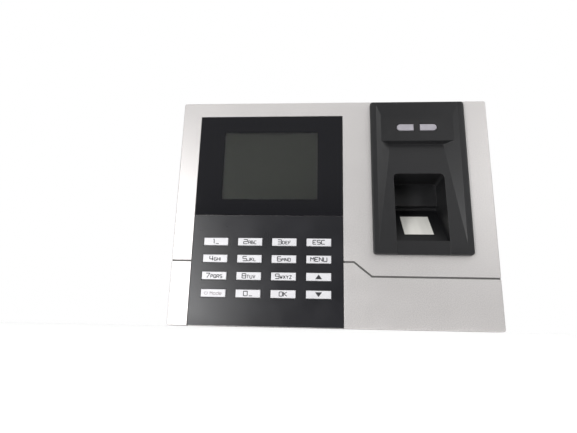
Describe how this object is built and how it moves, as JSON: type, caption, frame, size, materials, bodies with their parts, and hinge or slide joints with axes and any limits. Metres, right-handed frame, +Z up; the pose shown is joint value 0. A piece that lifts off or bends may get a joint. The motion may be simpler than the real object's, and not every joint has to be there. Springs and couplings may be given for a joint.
{
  "type": "fingerprint scanner terminal",
  "caption": "Wall-mounted time and access terminal: silver case with display, keypad and a recessed fingerprint sensor, hung on a steel wall plate.",
  "frame": {"origin": "middle of the wall plate's back face, which lies on the wall", "axes": "+Z up, the face looks along -Y, the wall is on the +Y side, +X to the right as seen from the front"},
  "size_m": [0.19, 0.043, 0.14],
  "materials": {
    "silver_paint": "satin metallic silver paint on plastic, fine speckle",
    "dark_case": "fine moulded texture",
    "black_bezel": "black, fine satin texture",
    "satin_fascia": "satin black",
    "gloss_lens": "polished acrylic, printed black behind",
    "key_plastic": "pale silver-white satin",
    "silicone": "matt silicone",
    "foam": "closed-cell foam",
    "circuit_board": "green solder mask",
    "chip": "black moulding",
    "light_window": "translucent pale diffuser",
    "sensor_glass": "polished, silvery",
    "screen": "unlit liquid crystal display",
    "plate_steel": "zinc-plated sheet",
    "screw_steel": "nickel-plated",
    "connector_metal": "tinned sheet",
    "terminal_green": "green nylon",
    "flex": "amber flexible circuit",
    "cable": "black sheath"
  },
  "bodies": {
    "wall_mount": {"wall_plate": "plate_steel", "security_screw": "screw_steel"},
    "terminal": {"rear_cover": "dark_case", "front_cover": "silver_paint", "keypad_fascia": "satin_fascia", "display_lens": "gloss_lens", "display_gasket": "foam", "lcd_panel": "screen", "lcd_backlight": "plate_steel", "lcd_bracket": "dark_case", "lcd_ribbon": "flex", "key_mat": "silicone", "key_board": "circuit_board", "keypad_ribbon": "flex", "sensor_bezel": "black_bezel", "indicator_lens_left": "light_window", "indicator_lens_right": "light_window", "light_board": "circuit_board", "led_left": "light_window", "led_right": "light_window", "sensor_prism": "sensor_glass", "sensor_housing": "black_bezel", "sensor_camera": "chip", "sensor_board": "circuit_board", "sensor_cable": "cable", "main_board": "circuit_board", "processor_chip": "chip", "ethernet_jack": "connector_metal", "power_jack": "chip", "terminal_block": "terminal_green", "usb_port": "connector_metal", "coin_cell_holder": "chip", "coin_cell": "connector_metal", "tamper_switch": "chip", "speaker": "chip", "case_screw_1": "screw_steel", "case_screw_2": "screw_steel", "case_screw_3": "screw_steel", "case_screw_4": "screw_steel", "board_screw_1": "screw_steel", "board_screw_2": "screw_steel", "board_screw_3": "screw_steel"},
    "key_1": {"key_1": "key_plastic"},
    "key_2": {"key_2": "key_plastic"},
    "key_3": {"key_3": "key_plastic"},
    "key_esc": {"key_esc": "key_plastic"},
    "key_4": {"key_4": "key_plastic"},
    "key_5": {"key_5": "key_plastic"},
    "key_6": {"key_6": "key_plastic"},
    "key_menu": {"key_menu": "key_plastic"},
    "key_7": {"key_7": "key_plastic"},
    "key_8": {"key_8": "key_plastic"},
    "key_9": {"key_9": "key_plastic"},
    "key_up": {"key_up": "key_plastic"},
    "key_mode": {"key_mode": "key_plastic"},
    "key_0": {"key_0": "key_plastic"},
    "key_ok": {"key_ok": "key_plastic"},
    "key_down": {"key_down": "key_plastic"},
    "tamper_plunger": {"tamper_plunger": "key_plastic"}
  },
  "joints": [
    {"name": "terminal_lift", "type": "slide", "parent": "wall_mount", "child": "terminal", "axis": [0, 0, 1], "range_m": [0, 0.008]},
    {"name": "key_1_press", "type": "slide", "parent": "terminal", "child": "key_1", "axis": [0, 1, 0], "range_m": [0, 0.0007], "stiffness_N_per_m": 1200},
    {"name": "key_2_press", "type": "slide", "parent": "terminal", "child": "key_2", "axis": [0, 1, 0], "range_m": [0, 0.0007], "stiffness_N_per_m": 1200},
    {"name": "key_3_press", "type": "slide", "parent": "terminal", "child": "key_3", "axis": [0, 1, 0], "range_m": [0, 0.0007], "stiffness_N_per_m": 1200},
    {"name": "key_esc_press", "type": "slide", "parent": "terminal", "child": "key_esc", "axis": [0, 1, 0], "range_m": [0, 0.0007], "stiffness_N_per_m": 1200},
    {"name": "key_4_press", "type": "slide", "parent": "terminal", "child": "key_4", "axis": [0, 1, 0], "range_m": [0, 0.0007], "stiffness_N_per_m": 1200},
    {"name": "key_5_press", "type": "slide", "parent": "terminal", "child": "key_5", "axis": [0, 1, 0], "range_m": [0, 0.0007], "stiffness_N_per_m": 1200},
    {"name": "key_6_press", "type": "slide", "parent": "terminal", "child": "key_6", "axis": [0, 1, 0], "range_m": [0, 0.0007], "stiffness_N_per_m": 1200},
    {"name": "key_menu_press", "type": "slide", "parent": "terminal", "child": "key_menu", "axis": [0, 1, 0], "range_m": [0, 0.0007], "stiffness_N_per_m": 1200},
    {"name": "key_7_press", "type": "slide", "parent": "terminal", "child": "key_7", "axis": [0, 1, 0], "range_m": [0, 0.0007], "stiffness_N_per_m": 1200},
    {"name": "key_8_press", "type": "slide", "parent": "terminal", "child": "key_8", "axis": [0, 1, 0], "range_m": [0, 0.0007], "stiffness_N_per_m": 1200},
    {"name": "key_9_press", "type": "slide", "parent": "terminal", "child": "key_9", "axis": [0, 1, 0], "range_m": [0, 0.0007], "stiffness_N_per_m": 1200},
    {"name": "key_up_press", "type": "slide", "parent": "terminal", "child": "key_up", "axis": [0, 1, 0], "range_m": [0, 0.0007], "stiffness_N_per_m": 1200},
    {"name": "key_mode_press", "type": "slide", "parent": "terminal", "child": "key_mode", "axis": [0, 1, 0], "range_m": [0, 0.0007], "stiffness_N_per_m": 1200},
    {"name": "key_0_press", "type": "slide", "parent": "terminal", "child": "key_0", "axis": [0, 1, 0], "range_m": [0, 0.0007], "stiffness_N_per_m": 1200},
    {"name": "key_ok_press", "type": "slide", "parent": "terminal", "child": "key_ok", "axis": [0, 1, 0], "range_m": [0, 0.0007], "stiffness_N_per_m": 1200},
    {"name": "key_down_press", "type": "slide", "parent": "terminal", "child": "key_down", "axis": [0, 1, 0], "range_m": [0, 0.0007], "stiffness_N_per_m": 1200},
    {"name": "tamper_press", "type": "slide", "parent": "terminal", "child": "tamper_plunger", "axis": [0, -1, 0], "range_m": [0, 0.002], "stiffness_N_per_m": 300}
  ]
}
